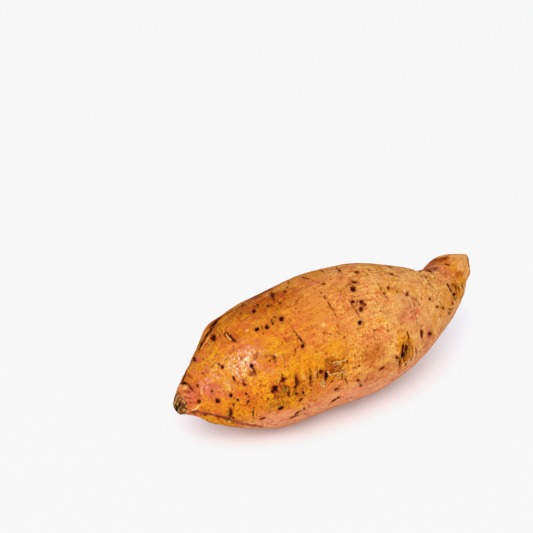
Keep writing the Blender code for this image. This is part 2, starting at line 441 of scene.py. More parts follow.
def press_mark(spot, way, half_length, half_width, depth, darkness, redness):
    """Coordinates u, v in an ellipse round the spot, 1 at its edge; a bell-shaped floor and a lip."""
    offset = smooth - smooth[spot]
    u = offset @ way / half_length
    v = offset @ np.cross(NORMAL[spot], way) / half_width
    r = np.hypot(u, v)
    near = (NORMAL @ NORMAL[spot] > 0.3) & ((offset**2).sum(axis=-1) < (half_length + 5.0) ** 2)
    pressed = depth * (LIP * bell((r - 1.6) / 0.45) - bell(r / 0.85))
    height[near] += pressed[near]
    closer = near & (r < mark_radius)
    mark_radius[closer] = r[closer]
    mark_place[closer] = np.stack([u, v, r < MARK_REACH], axis=-1)[closer]
    LAYERS["dark"][closer] = darkness
    LAYERS["red"][closer] = redness
    LAYERS["slit"][closer] = float(half_length > DASHED_FROM * half_width)


def press_pit(spot, way, width, darkness, redness, stretch):
    depth = PIT_DEPTH * min(width / 2.0, 1.3)
    press_mark(spot, way, width / 2 * stretch, width / 2, depth, darkness, redness)


def drawn_out(spot):
    """How much longer a mark is on the skin than in the picture, where the skin slants away."""
    return 1.0 / max(TOWARDS_EYE[spot], 0.45)


for (across, down, width, darkness, redness), spot in zip(PITS, at_pixels([row[:2] for row in PITS])):
    slope = BACK - (BACK @ NORMAL[spot]) * NORMAL[spot]
    press_pit(spot, unit(slope), width, darkness, redness, drawn_out(spot))
print("pits set where the photograph shows them:", len(PITS))

# %% [markdown]
# ## Slits
#
# As the root swells its skin splits in short, narrow slits that run round it, and cork
# dries dark in them. A slit is the same ellipse as a pit, long and thin, laid from one
# spot to another. The wide dark ones along the upper-left edge are partly painted
# shadow, and the one under the rim of the stem stub partly painted shade.

# %% Slits and creases that the photograph shows
# first pixel, last pixel, width in mm, depth in mm, darkness, how red-brown it is
SLITS = (
    (313.5, 288.0, 322.3, 294.0, 0.6, 0.20, 0.6, 0.8), (322.3, 294.0, 333.8, 311.3, 0.65, 0.25, 0.8, 0.7),
    (292.5, 327.0, 296.5, 333.5, 0.7, 0.15, 0.45, 0.9), (297.6, 335.6, 302.3, 342.2, 0.9, 0.28, 0.95, 0.2), (271.9, 321.8, 273.2, 324.0, 0.8, 0.2, 0.9, 0.4),
    (296.1, 348.9, 294.7, 355.9, 0.7, 0.22, 0.8, 0.4), (222.0, 330.4, 235.4, 343.4, 2.1, 0.30, 0.85, 0.5),
    (351.7, 304.4, 360.3, 318.1, 0.6, 0.20, 0.65, 0.4),
    (379.1, 285.3, 386.1, 296.8, 0.9, 0.28, 0.9, 0.0), (233.3, 377.0, 235.3, 381.6, 1.0, 0.28, 0.9, 0.1),
    (254.0, 407.7, 253.3, 416.5, 0.9, 0.28, 0.8, 0.3), (309.3, 370.5, 309.9, 381.5, 1.4, 0.3, 0.85, 0.5),
    (309.9, 381.5, 311.5, 390.5, 1.1, 0.25, 0.75, 0.6), (325.9, 370.5, 325.7, 380.5, 1.9, 0.3, 1.0, 0.1),
    (421.0, 331.0, 422.3, 337.6, 1.9, 0.35, 1.0, 0.8), (407.8, 331.9, 409.7, 343.3, 0.8, 0.22, 0.9, 0.1),
    (420.0, 272.2, 431.0, 279.9, 0.9, 0.3, 1.0, 0.3), (426.5, 271.2, 431.0, 271.9, 0.9, 0.3, 0.9, 0.8),
    (433.2, 267.4, 438.3, 270.0, 1.1, 0.3, 0.8, 0.9), (424.5, 269.6, 431.5, 271.2, 1.8, 0.25, 0.95, 0.6),
    (435.7, 294.2, 440.5, 301.2, 0.6, 0.15, 0.45, 0.8), (440.5, 301.2, 441.5, 306.5, 0.6, 0.2, 0.5, 0.6),
    (446.8, 283.6, 448.8, 287.6, 1.2, 0.25, 0.9, 0.4), (449.3, 288.2, 451.5, 292.2, 1.3, 0.25, 0.85, 0.6),
    (455.0, 284.5, 456.6, 290.8, 1.2, 0.2, 0.9, 0.3), (457.8, 285.5, 459.4, 291.5, 1.1, 0.2, 0.85, 0.3),
    (461.2, 284.0, 462.8, 289.5, 1.0, 0.2, 0.75, 0.3), (452.0, 283.0, 453.0, 286.5, 0.9, 0.2, 0.7, 0.6),
    (290.0, 418.0, 296.5, 415.3, 1.4, 0.25, 0.9, 0.1), (349.8, 397.9, 355.0, 396.3, 0.9, 0.2, 0.8, 0.9),
    (224.6, 418.6, 232.0, 421.2, 1.3, 0.3, 0.9, 0.3), (189.0, 364.0, 184.5, 374.5, 2.6, 0.4, 0.9, 0.9), (185.5, 372.0, 182.0, 384.0, 2.4, 0.4, 0.9, 0.9),
    # partly painted shade: the first slit here, under the rim of the stem stub, and the slits along the upper-left edge
    # on this row and the next
    (181.5, 384.2, 187.0, 383.6, 1.6, 0.4, 1.0, 0.3), (239.0, 307.5, 247.0, 301.5, 1.8, 0.15, 0.7, 0.7),
    (237.5, 310.0, 256.0, 297.5, 1.0, 0.2, 0.5, 0.2), (335.0, 390.5, 338.0, 388.5, 1.6, 0.2, 0.7, 0.0),
    (331.0, 382.6, 334.0, 381.0, 1.1, 0.2, 0.6, 1.0), (240.0, 358.2, 243.0, 359.8, 1.0, 0.15, 0.35, 0.8),
    (282.0, 373.0, 284.0, 377.5, 0.8, 0.2, 0.5, 0.8), (194.0, 357.0, 195.5, 361.0, 1.3, 0.3, 0.85, 1.0),
    (253.0, 369.5, 255.0, 373.6, 1.1, 0.15, 0.6, 0.0), (229.0, 405.5, 230.5, 411.0, 1.0, 0.2, 0.7, 0.1),
    (188.5, 386.0, 192.5, 390.0, 0.9, 0.25, 0.8, 0.4), (455.0, 298.0, 456.5, 301.5, 0.8, 0.2, 0.6, 0.4),
    (344.3, 376.0, 347.0, 383.0, 0.8, 0.2, 0.5, 0.7), (317.0, 374.0, 318.5, 380.0, 0.9, 0.2, 0.6, 0.6),
    (280.5, 382.2, 286.4, 378.6, 1.3, 0.25, 0.9, 0.6), (283.2, 380.2, 281.5, 377.4, 1.1, 0.2, 0.85, 0.6),
    (296.5, 377.2, 297.0, 385.6, 1.9, 0.25, 0.75, 0.75), (278.5, 409.6, 282.4, 407.0, 2.0, 0.3, 1.0, 0.2),
    (299.6, 401.6, 302.4, 398.8, 1.4, 0.25, 0.85, 0.5), (295.6, 413.6, 298.6, 411.2, 1.5, 0.25, 1.0, 0.2),
    (331.2, 401.4, 334.6, 399.4, 1.5, 0.25, 0.95, 0.3), (336.4, 398.2, 338.9, 396.4, 1.6, 0.25, 0.9, 0.8),
    (261.6, 419.2, 264.6, 418.0, 1.5, 0.25, 1.0, 0.2), (242.0, 383.4, 246.0, 384.8, 1.3, 0.2, 0.8, 0.8),
    # partly painted shadow: the wide dark slits along the upper-left edge, from the middle of this row to the end of
    # the row after next
    (247.2, 403.6, 249.0, 401.0, 1.2, 0.2, 0.8, 0.5), (211.0, 327.0, 217.0, 320.5, 2.4, 0.1, 0.95, 0.3), (217.5, 320.5, 221.5, 317.5, 1.6, 0.1, 0.85, 0.6),
    (205.5, 337.0, 211.5, 329.0, 2.6, 0.2, 0.9, 0.3), (198.5, 349.5, 204.5, 339.0, 2.4, 0.2, 0.85, 0.4),
    (223.5, 315.5, 232.0, 310.5, 1.9, 0.15, 0.75, 0.5), (231.5, 411.5, 230.0, 416.5, 1.4, 0.2, 0.85, 0.1), (233.0, 417.0, 234.5, 419.0, 1.1, 0.2, 0.8, 0.2), (249.5, 299.0, 262.0, 292.5, 2.4, 0.15, 0.75, 0.6),
    (380.0, 370.8, 383.8, 367.4, 1.5, 0.2, 0.85, 1.0), (271.8, 291.6, 273.8, 300.0, 1.9, 0.2, 0.85, 0.5),
    (187.5, 412.4, 195.5, 413.2, 0.9, 0.25, 0.9, 0.2), (403.0, 343.5, 402.4, 349.5, 1.5, 0.2, 1.0, 0.1),
    (405.7, 344.5, 405.0, 351.0, 1.1, 0.2, 0.9, 0.2), (402.0, 350.5, 401.4, 357.5, 1.7, 0.2, 1.0, 0.0),
    (404.9, 352.5, 404.4, 358.6, 1.2, 0.2, 0.9, 0.2), (407.2, 346.5, 407.2, 353.5, 0.9, 0.2, 0.8, 0.3),
    (399.4, 359.5, 400.6, 366.5, 1.1, 0.2, 0.85, 0.3), (404.4, 360.5, 405.6, 364.5, 1.0, 0.2, 0.8, 0.4),
    (412.8, 296.6, 414.2, 300.0, 0.7, 0.12, 0.6, 0.9), (416.4, 298.6, 417.7, 302.4, 0.7, 0.12, 0.65, 0.9),
    (418.8, 302.6, 420.7, 306.5, 0.7, 0.12, 0.6, 0.9), (414.8, 304.6, 416.2, 308.4, 0.6, 0.12, 0.6, 0.9),
    (421.0, 296.6, 422.2, 300.0, 0.6, 0.12, 0.55, 0.9), (379.0, 311.3, 384.0, 312.6, 0.8, 0.12, 0.5, 1.0),
    (203.2, 415.4, 207.4, 414.4, 1.1, 0.2, 0.9, 0.1), (216.3, 416.9, 222.0, 417.6, 1.0, 0.2, 0.85, 0.6), (223.6, 418.8, 227.0, 419.4, 1.2, 0.2, 0.9, 0.5),
    (440.6, 259.2, 446.4, 258.6, 1.1, 0.15, 0.75, 0.7), (445.2, 264.2, 449.2, 265.5, 1.1, 0.15, 0.8, 0.7),
)


def cut_slit(spot, start, end, width, depth, darkness, redness):
    """An ellipse at the spot, laid along the line from start to end."""
    line = smooth[end] - smooth[start]
    line = line - (line @ NORMAL[spot]) * NORMAL[spot]
    half_length = np.linalg.norm(line) / 2 + width / 4
    press_mark(spot, unit(line), half_length, width / 2, depth, darkness, redness)


slit_ends = np.array([row[:4] for row in SLITS])
slit_middles = at_pixels((slit_ends[:, :2] + slit_ends[:, 2:]) / 2)
slit_starts, slit_stops = at_pixels(slit_ends[:, :2]), at_pixels(slit_ends[:, 2:])
for row, spot, start, end in zip(SLITS, slit_middles, slit_starts, slit_stops):
    cut_slit(spot, start, end, *row[4:])
print("slits set where the photograph shows them:", len(SLITS))

# %% [markdown]
# ## Stains, scabs and flakes
#
# Where the skin was rubbed or bitten in the soil it healed with cork: gold, ochre, olive
# or brown patches with ragged edges. Each is a soft bell here, and the material's noise
# will break its edge up. A scab is also a little raised, and its loose flakes are pale.
# Some patches and strokes stand for light instead: painted shadow along the upper left
# and the top of the neck and tail, painted shade in the notch and round a dimple, and
# painted highlight and sheen where the wax shines.

# %% Patches that the photograph shows
# layer, pixel, half-size along the root and round it in mm, strength
STAINS = (
    ("gold", 290.0, 371.0, 8.5, 6.0, 0.9),
    ("gold", 266.0, 381.0, 7.0, 6.0, 0.62), ("gold", 239.0, 413.0, 4.5, 3.5, 0.95),
    ("gold", 252.0, 373.0, 4.5, 5.0, 0.8), ("gold", 271.0, 345.0, 8.0, 6.0, 0.5),
    ("gold", 308.0, 368.0, 5.0, 8.0, 0.8), ("gold", 335.0, 348.0, 9.0, 7.0, 0.62),
    ("gold", 330.0, 327.0, 5.0, 4.0, 0.45), ("gold", 300.0, 400.0, 7.0, 7.0, 0.6),
    ("gold", 406.0, 350.0, 6.0, 9.0, 1.0), ("gold", 457.0, 290.0, 3.5, 5.0, 0.85),
    ("gold", 447.0, 297.0, 6.0, 7.0, 0.6), ("gold", 255.0, 390.0, 7.0, 5.0, 0.4),
    ("gold", 430.0, 277.0, 3.0, 3.5, 0.7), ("gold", 388.0, 300.0, 5.0, 5.0, 0.35),
    ("gold", 396.0, 371.0, 5.0, 5.0, 0.4), ("gold", 225.0, 320.0, 4.0, 2.5, 0.4),
    ("olive", 284.0, 390.5, 2.6, 2.6, 0.95), ("olive", 274.0, 404.5, 2.4, 2.2, 0.85),
    ("olive", 297.0, 381.0, 2.2, 2.4, 0.8), ("olive", 230.0, 413.5, 2.0, 4.0, 0.9),
    ("olive", 254.0, 371.5, 2.6, 2.0, 0.65), ("olive", 407.0, 351.0, 4.2, 7.5, 0.7),
    ("olive", 399.0, 362.0, 2.8, 3.5, 0.6), ("olive", 272.0, 358.0, 3.4, 2.8, 0.7),
    ("olive", 273.6, 294.7, 1.6, 2.6, 0.8), ("olive", 214.0, 327.0, 1.6, 2.4, 0.9),
    ("olive", 237.5, 310.0, 1.4, 2.0, 0.8), ("olive", 217.0, 320.0, 4.0, 2.0, 0.8),
    ("olive", 205.0, 340.0, 4.5, 1.3, 0.6), ("olive", 337.0, 389.5, 1.4, 1.8, 0.7),
    ("olive", 454.0, 298.0, 2.5, 3.0, 0.55), ("olive", 301.0, 411.0, 2.4, 1.4, 0.6),
    ("olive", 184.0, 405.0, 2.0, 4.0, 0.7), ("olive", 323.0, 375.0, 2.0, 3.5, 0.7),
    ("brown", 336.0, 367.0, 5.2, 4.6, 1.0), ("brown", 329.0, 360.0, 3.0, 2.6, 0.85),
    ("brown", 342.0, 377.0, 3.2, 2.0, 0.7), ("brown", 255.0, 357.0, 1.6, 1.5, 0.85), ("brown", 251.5, 373.0, 1.8, 1.4, 0.7),
    ("brown", 276.0, 397.0, 2.8, 1.6, 0.8), ("brown", 283.2, 380.0, 2.0, 1.8, 0.7),
    ("brown", 273.6, 294.7, 1.0, 1.9, 0.9), ("brown", 258.3, 297.2, 2.2, 1.0, 0.7),
    ("brown", 268.5, 305.0, 2.2, 2.0, 0.5), ("brown", 188.5, 376.0, 1.3, 4.0, 0.75),
    ("brown", 228.0, 335.0, 0.9, 3.4, 0.8), ("brown", 443.5, 258.5, 2.6, 1.0, 0.8),
    ("brown", 376.0, 350.0, 5.0, 5.0, 0.35),
    ("brown", 310.5, 379.0, 1.4, 4.6, 0.6), ("brown", 272.0, 359.0, 3.4, 3.0, 0.7),
    ("brown", 409.0, 334.0, 1.6, 2.4, 0.5), ("deep_tone_and_shade", 239.0, 332.0, 2.8, 2.6, 1.0), ("gold", 239.0, 332.0, 2.4, 2.4, 0.75),
    ("brown", 296.0, 388.0, 3.0, 3.5, 0.45), ("brown", 366.5, 351.0, 2.0, 3.2, 0.4),
    ("blush", 212.0, 391.0, 3.6, 4.2, 0.85), ("blush", 225.0, 417.5, 9.0, 1.2, 0.9),
    ("blush", 205.0, 414.0, 4.0, 1.2, 0.8), ("blush", 247.0, 303.5, 6.0, 1.8, 0.75),
    # partly painted shade: the first blush patch, in the notch between body and tail
    ("blush", 426.0, 268.0, 2.6, 3.0, 1.0), ("blush", 192.0, 388.0, 2.6, 4.5, 0.7),
    ("blush", 200.0, 403.0, 2.6, 2.6, 0.6), ("blush", 422.0, 325.0, 1.6, 6.0, 0.5),
    ("blush", 194.0, 371.0, 3.0, 4.0, 0.6), ("blush", 227.0, 398.0, 4.0, 2.5, 0.45),
    ("blush", 440.0, 272.0, 3.5, 3.0, 0.45), ("blush", 382.0, 356.0, 2.0, 2.4, 0.4),
    ("blush", 449.0, 277.0, 8.0, 6.0, 0.5), ("deep_tone_and_shade", 450.0, 272.0, 8.0, 7.0, 0.6), ("blush", 429.7, 336.0, 5.0, 7.0, 0.75),
    ("blush", 412.0, 314.0, 11.0, 9.0, 0.65), ("blush", 250.0, 321.0, 9.0, 6.0, 0.45),
    ("gold", 334.0, 369.0, 8.5, 7.0, 1.0), ("gold", 284.0, 397.0, 9.5, 8.5, 0.95),
    ("gold", 272.0, 304.0, 10.0, 6.0, 0.5), ("gold", 320.0, 396.0, 7.0, 5.0, 0.6),
    ("brown", 287.0, 377.0, 4.0, 2.4, 0.5), ("brown", 262.0, 400.0, 2.2, 3.0, 0.45),
    ("brown", 243.0, 410.0, 2.0, 3.0, 0.45), ("brown", 302.0, 385.0, 2.6, 4.0, 0.5),
    ("brown", 274.0, 390.0, 3.0, 3.0, 0.8), ("brown", 297.0, 381.0, 2.2, 4.5, 0.85),
    ("olive", 283.0, 401.0, 9.0, 4.5, 0.6), ("olive", 306.0, 380.0, 6.0, 5.0, 0.5),
    ("olive", 267.0, 358.0, 5.0, 3.5, 0.5), ("wax", 206.0, 384.0, 3.0, 3.0, 0.8),
    ("brown", 433.0, 262.0, 2.4, 2.4, 0.8), ("deep_tone_and_shade", 325.0, 345.0, 9.0, 6.0, 0.25),
    ("blush", 214.0, 384.0, 8.0, 7.0, 0.5), ("blush", 206.0, 372.0, 5.0, 6.0, 0.45),
    # partly painted shade: the deep patch at 446 across, along the tail's top edge, and the last one, by the upper-left
    # edge
    ("deep_tone_and_shade", 459.0, 275.5, 3.4, 3.0, 0.9), ("deep_tone_and_shade", 461.0, 262.0, 6.0, 6.0, 0.45), ("blush", 456.0, 258.0, 5.0, 3.0, 0.35), ("gold", 452.0, 267.0, 4.5, 3.5, 0.55), ("gold", 461.5, 281.0, 3.0, 4.0, 0.7), ("deep_tone_and_shade", 446.0, 262.0, 5.5, 3.0, 0.8), ("brown", 458.5, 275.5, 1.8, 1.6, 0.5), ("deep_tone_and_shade", 207.0, 343.0, 3.0, 6.0, 0.2),
    # partly painted shade: the first two plum patches, in the notch between body and tail
    ("plum", 430.0, 269.5, 3.5, 3.5, 1.0), ("plum", 437.0, 268.0, 2.4, 2.4, 0.6), ("plum", 212.0, 391.0, 1.6, 1.8, 0.5),
    ("plum", 188.0, 396.0, 2.6, 5.0, 0.45), ("blush", 190.0, 397.0, 4.0, 6.0, 1.0),
    ("gold", 214.0, 421.0, 10.0, 3.0, 0.9), ("olive", 231.0, 421.0, 4.0, 2.0, 0.8), ("gold", 204.0, 407.0, 5.0, 2.5, 0.8),
    ("gold", 232.0, 405.0, 6.0, 5.0, 0.8), ("blush", 197.0, 359.5, 2.4, 3.0, 0.9), ("plum", 208.0, 346.0, 2.4, 4.0, 0.45),
    # partly painted shadow: the deep patches on this row and the next, along the upper left
    ("deep_tone_and_shade", 270.0, 302.0, 12.0, 7.0, 1.2), ("deep_tone_and_shade", 288.0, 293.0, 9.0, 5.0, 0.75),
    ("deep_tone_and_shade", 240.0, 311.0, 9.0, 5.0, 0.8), ("deep_tone_and_shade", 214.0, 328.0, 5.0, 5.0, 0.7),
    ("deep_tone_and_shade", 375.0, 353.0, 8.0, 6.0, 0.75), ("deep_tone_and_shade", 352.0, 306.0, 6.0, 6.0, 0.35), ("deep_tone_and_shade", 380.0, 372.0, 12.0, 7.0, 0.55), ("deep_tone_and_shade", 312.0, 394.0, 9.0, 6.0, 0.45), ("gold", 315.0, 312.0, 12.0, 8.0, 0.4), ("deep_tone_and_shade", 410.0, 312.0, 10.0, 6.0, 0.3),
    ("deep_tone_and_shade", 448.0, 302.0, 7.0, 6.0, 0.5), ("deep_tone_and_shade", 330.0, 372.0, 8.0, 6.0, 0.45),
    # partly painted shadow: the first three deep patches here, on the tail's top and along the upper left
    ("deep_tone_and_shade", 438.0, 261.5, 5.5, 4.5, 0.9), ("deep_tone_and_shade", 256.0, 297.0, 5.0, 3.0, 0.9), ("deep_tone_and_shade", 268.0, 290.5, 5.0, 3.0, 0.9), ("deep_tone_and_shade", 455.0, 290.0, 4.0, 5.0, 0.6),
    ("pale", 246.5, 330.4, 1.2, 1.2, 0.8), ("pale", 267.3, 294.6, 1.7, 1.4, 0.85),
    ("pale", 276.0, 355.0, 1.3, 1.1, 0.9), ("pale", 302.5, 376.0, 3.0, 3.0, 0.5),
    ("pale", 314.5, 374.0, 1.6, 2.6, 0.65), ("pale", 323.3, 382.7, 1.1, 1.9, 1.0),
    # painted highlight: the last pale patch on this row and both on the next, in the glossy spot by the stem end
    ("pale", 323.5, 324.6, 2.0, 1.6, 0.75), ("pale", 233.0, 369.0, 3.4, 3.0, 0.6),
    ("pale", 243.0, 362.0, 4.0, 2.4, 0.7), ("pale", 252.0, 357.0, 2.8, 1.8, 0.6),
    ("pale", 204.0, 356.5, 1.0, 1.0, 0.85), ("pale", 212.5, 361.5, 1.2, 1.2, 0.6),
    ("pale", 232.7, 321.6, 1.2, 1.0, 0.5), ("pale", 183.0, 387.0, 1.7, 1.9, 1.0),
    # partly painted sheen: the first pale patch on this row and both on the next, broad and faint on the shoulder and
    # neck
    ("pale", 386.0, 317.0, 5.0, 4.5, 0.5), ("pale", 375.9, 315.3, 1.3, 2.2, 0.6),
    ("pale", 395.0, 307.0, 5.0, 4.0, 0.4), ("pale", 420.0, 288.0, 4.0, 4.0, 0.35),
    ("pale", 228.0, 330.0, 0.8, 2.4, 0.5), ("pale", 434.0, 275.5, 2.0, 3.0, 0.6),
    ("pale", 419.5, 325.0, 0.8, 3.6, 0.9), ("pale", 407.0, 298.0, 0.7, 4.0, 0.8),
    ("pale", 383.0, 354.0, 0.9, 0.9, 0.6), ("pale", 229.0, 385.0, 0.8, 3.0, 0.6),
    ("wax", 243.0, 363.0, 9.0, 8.0, 1.0), ("wax", 213.0, 366.0, 6.0, 7.0, 0.6),
    ("wax", 226.0, 385.0, 6.0, 5.0, 0.6), ("wax", 392.0, 308.0, 12.0, 8.0, 0.6),
    ("wax", 276.0, 366.0, 6.0, 6.0, 0.5), ("wax", 430.0, 282.0, 5.0, 6.0, 0.5),
)

# layer, width and lift in mm, strength, then the pixels that the line runs through
STROKES = (
    ("pale", 1.1, 0.15, 0.9, 186, 411, 192, 411, 197, 408, 199, 405),
    ("brown", 0.9, -0.1, 0.9, 184.5, 391, 190, 392.5), ("brown", 0.9, -0.1, 0.9, 185, 397, 192, 399),
    ("brown", 0.9, -0.1, 0.8, 185.5, 403, 191, 403.5), ("pale", 0.9, 0.05, 0.7, 184.5, 394.5, 189, 396),
    # round the dimple near the stem end: the pale arcs are painted highlight on its rim, and the plum and pink arcs
    # partly painted shade on its walls
    ("pale", 1.8, 0.12, 0.6, 201.5, 387.5, 201, 391.5, 203.5, 396),
    ("plum", 1.6, -0.1, 0.5, 199.3, 388, 198.7, 393, 202, 398.5, 209, 402), ("pale", 1.6, 0.12, 0.5, 206, 384, 214, 381),
    ("pale", 2.2, 0.15, 0.6, 223.5, 380.5, 226.5, 385.5, 228.8, 390), ("blush", 2.4, 0.0, 0.9, 205, 386, 213, 384, 220, 388),
    ("plum", 2.4, -0.2, 0.95, 194, 411.5, 209, 414, 225, 418, 239, 423, 262, 427),
    ("pale", 1.1, 0.1, 0.8, 225, 420.5, 229, 421.7), ("olive", 1.5, 0.05, 0.95, 229, 418.5, 235, 421),
    # partly painted shadow: the dark strokes along the upper-left edge, on this row and the three after it
    ("olive", 1.6, 0.1, 0.8, 198, 348, 205, 337, 211, 330), ("pale", 1.1, 0.1, 0.85, 213, 331.5, 207, 340, 202, 348.5),
    ("brown", 3.2, 0.55, 0.95, 211, 326, 216, 321, 222, 317), ("brown", 1.6, 0.05, 0.95, 222, 316.5, 232, 311),
    ("plum", 2.4, 0.0, 0.6, 240, 307.5, 255, 302.5), ("brown", 2.4, 0.05, 0.95, 249, 300, 262, 293.5, 271, 290),
    ("olive", 2.0, 0.05, 0.95, 263, 291.5, 269, 288.5), ("brown", 1.4, 0.0, 0.8, 254, 300.5, 262, 297),
    ("brown", 1.0, 0.05, 0.95, 279.5, 386.5, 284, 384.8, 288.5, 386.8, 290, 391, 287.5, 394.8, 283, 396),
    ("plum", 1.1, -0.15, 0.7, 403, 291.5, 408, 299, 411, 307), ("plum", 1.0, -0.12, 0.65, 406.5, 290.5, 411.5, 298, 414.5, 306),
    ("pale", 1.2, 0.2, 0.85, 404.7, 291, 409.8, 298.5, 412.8, 306.5), ("plum", 1.0, -0.05, 0.6, 374.5, 311, 373.8, 315, 375, 319),
    ("pale", 1.0, 0.08, 0.65, 377.5, 310.5, 378, 315, 377, 319), ("plum", 0.9, -0.05, 0.4, 418, 296, 421, 290, 427, 285),
    ("pale", 0.9, 0.05, 0.6, 420, 297, 424, 291, 429, 287), ("pale", 1.1, 0.12, 0.9, 417, 314, 420, 325, 421.3, 329),
    ("pale", 0.9, 0.05, 0.6, 382.5, 347, 380.5, 350, 380.3, 354, 382.5, 358, 385, 355, 385.2, 350, 382.5, 347),
    ("brown", 1.1, 0.0, 0.95, 411, 345, 413, 351, 412.5, 358), ("brown", 1.0, 0.0, 0.9, 415, 347, 416.5, 353, 415, 361),
    ("brown", 1.0, 0.0, 0.9, 408.5, 355, 411, 361), ("pale", 1.6, 0.25, 0.9, 413, 269.5, 422, 270.6, 433, 277.4),
    # partly painted shade: the first two strokes here, along the tail's top and in the notch between body and tail
    ("brown", 3.2, 0.05, 1.0, 438, 261, 446, 258.5), ("plum", 2.4, -0.1, 1.0, 419, 271.5, 427, 268, 434, 264.5), ("brown", 1.2, 0.0, 0.7, 352, 283, 345, 286),
    # partly painted shade along the top of the neck and tail
    ("deep_tone_and_shade", 9.0, 0.3, 0.3, 428, 265, 436, 259.5, 445, 256.5),
    ("brown", 1.0, 0.0, 0.8, 467.3, 257, 468.3, 263, 468.8, 270), ("deep_tone_and_shade", 8.0, 0.5, 0.2, 467, 277, 465, 285, 462, 294),
    ("plum", 0.9, -0.05, 0.7, 434, 269, 440, 272, 445.5, 276), ("plum", 1.0, 0.0, 0.7, 438, 264, 449, 265.5), ("brown", 1.2, 0.0, 0.8, 448.5, 309, 451, 310, 453, 307.5),
    ("deep_tone_and_shade", 4.0, 0.7, 0.1, 180.5, 386, 184.5, 382.5), ("deep_tone_and_shade", 4.4, -1.0, 0.1, 174, 394, 174, 400), ("deep_tone_and_shade", 4.0, 0.7, 0.1, 175.5, 406, 178.5, 410),
    ("pale", 1.5, 0.2, 1.0, 180, 386.5, 183, 386.3, 186, 387.6), ("olive", 2.2, 0.5, 0.8, 209, 421, 214.5, 423),
)


def lay_patch(spot, name, half_along, half_round, strength, lift):
    """A flat-topped bell: e to the minus the fourth power of the distance over the half-size."""
    along, across, near = offsets_from(spot)
    r = np.hypot(along / half_along, across / half_round)
    amount = np.where(near, np.exp(-(r**2.6) * 0.75), 0.0)
    raise_layer(name, strength * amount)
    height[...] += lift * amount


SCAB_LIFT = {"brown": 0.10, "olive": 0.06, "pale": 0.03}
for (name, across, down, *sizes), spot in zip(STAINS, at_pixels([row[1:3] for row in STAINS])):
    lay_patch(spot, name, *sizes, SCAB_LIFT.get(name, 0.0))
for name, width, lift, strength, *pixels in STROKES:
    spots = at_pixels(np.reshape(pixels, (-1, 2)))
    distance = np.min([line_distance(a, b) for a, b in zip(spots[:-1], spots[1:])], axis=0)
    amount = np.exp(-0.7 * (distance / (width / 2)) ** 4)
    raise_layer(name, strength * amount)
    height += lift * amount
print("patches:", len(STAINS), "strokes:", len(STROKES))

# %% [markdown]
# ## The sides that nobody photographed
#
# The back, the belly and a strip along the top can't be seen in the photograph. The same
# kinds of marks go there at about the same density, from a seeded random choice, so that
# the object is finished all round and is the same on every run. A strip of the top counts
# as unseen although it faces the camera.

# %% Scatter marks over the unseen sides
rng = np.random.default_rng(41)
TOP_STRIP = ((285.0, 282.0), (310.0, 286.0), (333.0, 287.5), (360.0, 284.0), (390.0, 278.5), (416.0, 279.0))
strip_x, strip_y = np.array(TOP_STRIP).T
in_strip = (PIXEL[..., 0] > strip_x[0]) & (PIXEL[..., 0] < strip_x[-1])
in_strip &= PIXEL[..., 1] < np.interp(PIXEL[..., 0], strip_x, strip_y)
CELL = np.linalg.norm(np.cross(np.gradient(smooth, axis=0), np.gradient(smooth, axis=1)), axis=-1)
unseen = ((TOWARDS_EYE < -0.02) | in_strip) & (SHARE > 0.02) & (SHARE < 0.985)
chance = (CELL * unseen).ravel()
chance /= chance.sum()


def unseen_spots(count):
    """Spots on the unseen skin, each square millimetre as likely as the next."""
    return [np.unravel_index(k, SHARE.shape) for k in rng.choice(chance.size, count, p=chance)]


def laid_way(spot, angle):
    """A direction in the skin at a spot, at an angle in radians from the way round the root."""
    return math.cos(angle) * AROUND[spot] + math.sin(angle) * ALONG[spot]


for spot in unseen_spots(86):
    width, darkness, redness, stretch = rng.uniform((0.9, 0.6, 0.0, 0.8), (2.6, 1.0, 1.0, 1.4))
    press_pit(spot, laid_way(spot, rng.uniform(0.0, math.pi)), width, darkness, redness, stretch)
for spot in unseen_spots(38):
    way = laid_way(spot, rng.normal(0.0, 0.25))
    press_mark(
        spot, way, rng.uniform(1.2, 4.2), rng.uniform(0.35, 0.6), rng.uniform(0.18, 0.32),
        rng.uniform(0.5, 0.95), rng.uniform(0.0, 1.0),
    )
for name, count, smallest, largest in (
    ("gold", 26, 3.0, 9.0), ("olive", 14, 1.4, 4.0), ("brown", 16, 1.2, 4.5),
    ("blush", 12, 2.5, 7.0), ("pale", 26, 0.9, 3.6), ("wax", 9, 5.0, 11.0), ("deep_tone_and_shade", 9, 4.0, 10.0),
):
    for spot in unseen_spots(count):
        half = rng.uniform(smallest, largest)
        lay_patch(spot, name, half, half * rng.uniform(0.7, 1.5), rng.uniform(0.45, 0.95), SCAB_LIFT.get(name, 0.0))
print("share of the skin left to chance:", round(float((CELL * unseen).sum() / CELL.sum()), 2))

# %% [markdown]
# ## Lumps and wrinkles too small to name
#
# Under the marks the skin is never smooth: it undulates over a centimetre, and ripples
# over a few millimetres. A sum of many cosine waves in random directions gives such a
# surface in one array operation, with no repeats and no seam.

# %% Add the small relief


def ripples(points, wavelength, waves=28):
    """Cosines of one wavelength in random directions, added up; the result is about -1 to 1."""
    direction = unit(rng.normal(size=(waves, 3)))
    length = wavelength * rng.uniform(0.75, 1.35, waves)
    phase = rng.uniform(0.0, 2 * math.pi, waves)
    angle = points @ (direction * (2 * math.pi / length[:, None])).T + phase
    return np.cos(angle).sum(axis=-1) / math.sqrt(waves / 2) / 2


t = np.radians(TURN)
grown = np.stack([(SHARE - 0.5) * LENGTH, GIRTH * np.sin(t), GIRTH * np.cos(t)], axis=-1)
grown[..., 0] += np.where(SHARE == 1.0, row_outset[:, None], 0.0)
grown[..., 1:] *= row_inwards[:, None, None]

